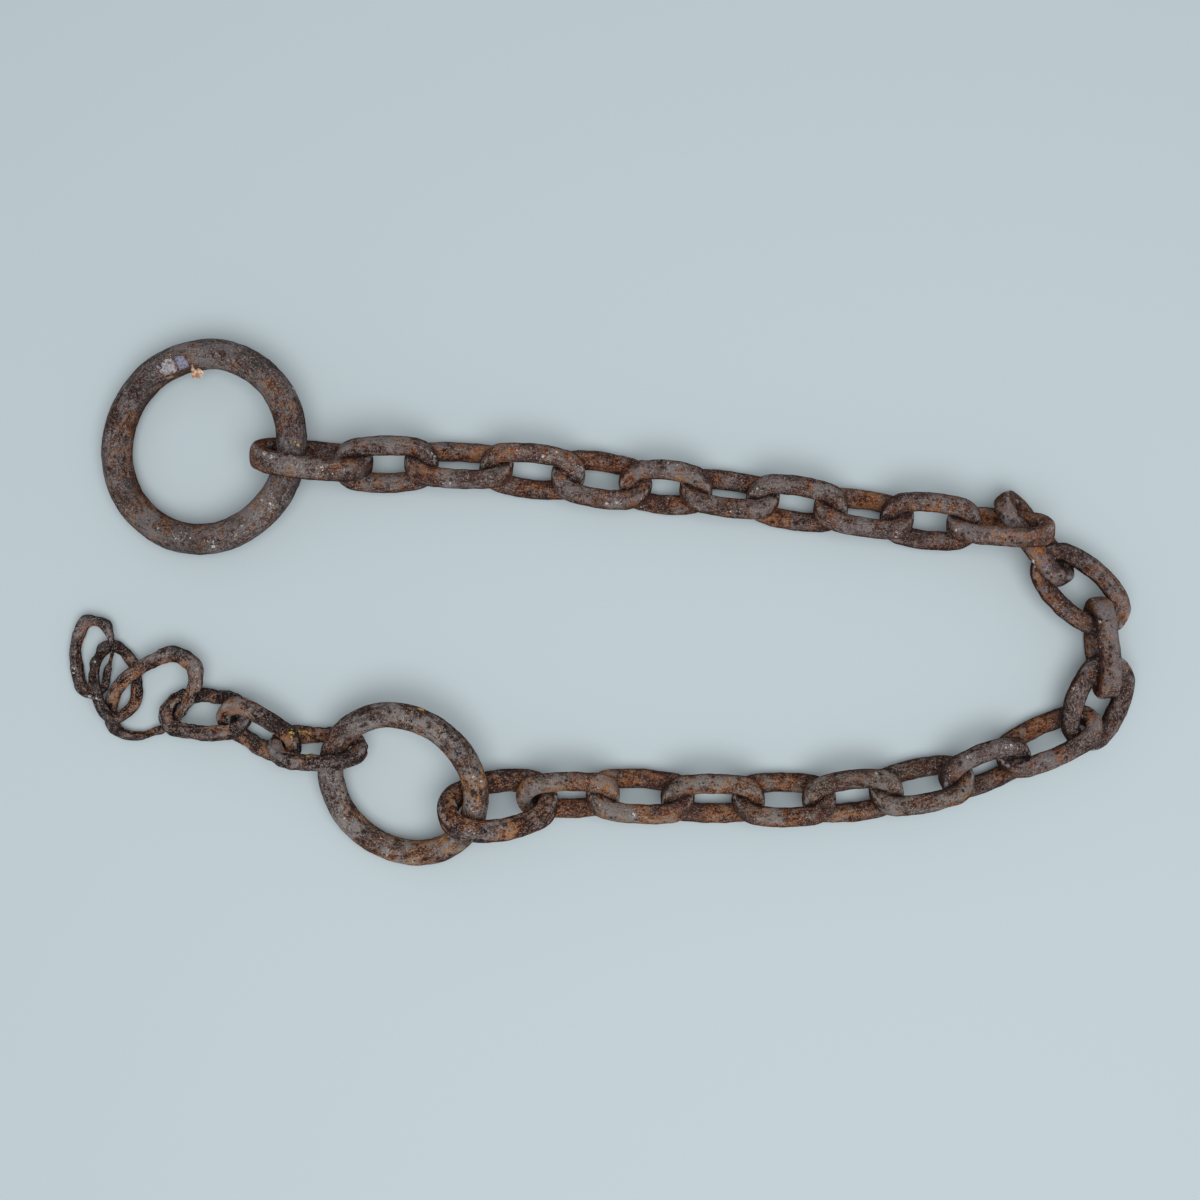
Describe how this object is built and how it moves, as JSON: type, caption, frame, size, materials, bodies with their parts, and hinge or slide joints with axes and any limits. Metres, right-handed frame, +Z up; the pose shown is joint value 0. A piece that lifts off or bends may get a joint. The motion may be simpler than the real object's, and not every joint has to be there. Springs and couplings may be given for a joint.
{
  "type": "rusty forged chain",
  "caption": "Rusty hand-forged chain laid in a long U, with a large ring on one end and a smaller ring and a thin wasted tail on the other.",
  "frame": {"origin": "middle of the underside of the box around the whole chain, on the surface it lies on", "axes": "+X along the two rows, from the rings' end towards the turn; +Y from the small ring's row towards the large ring's row; +Z up, away from the surface"},
  "size_m": [0.632, 0.3114, 0.0461],
  "materials": {
    "ring_rust": "grey-brown scaly rust, dry and matt, with a few pale scratches",
    "link_rust": "dark brown rust, worn purple-grey on top and orange in the recesses",
    "tail_rust": "deeply pitted orange-brown rust, flaky and matt"
  },
  "bodies": {
    "root": {"large_ring": "ring_rust", "link_01": "link_rust", "link_02": "link_rust", "link_03": "link_rust", "link_04": "link_rust", "link_05": "link_rust", "link_06": "link_rust", "link_07": "link_rust", "link_08": "link_rust", "link_09": "link_rust", "link_10": "link_rust", "link_11": "link_rust", "link_12": "link_rust", "link_13": "link_rust", "link_14": "link_rust", "link_15": "link_rust", "link_16": "link_rust", "link_17": "link_rust", "link_18": "link_rust", "link_19": "link_rust", "link_20": "link_rust", "link_21": "link_rust", "link_22": "link_rust", "link_23": "link_rust", "link_24": "link_rust", "small_ring": "ring_rust", "tail_link_01": "tail_rust", "tail_link_02": "tail_rust", "tail_link_03": "tail_rust", "tail_link_04": "tail_rust", "tail_link_05": "tail_rust", "tail_link_06": "tail_rust"}
  },
  "joints": []
}
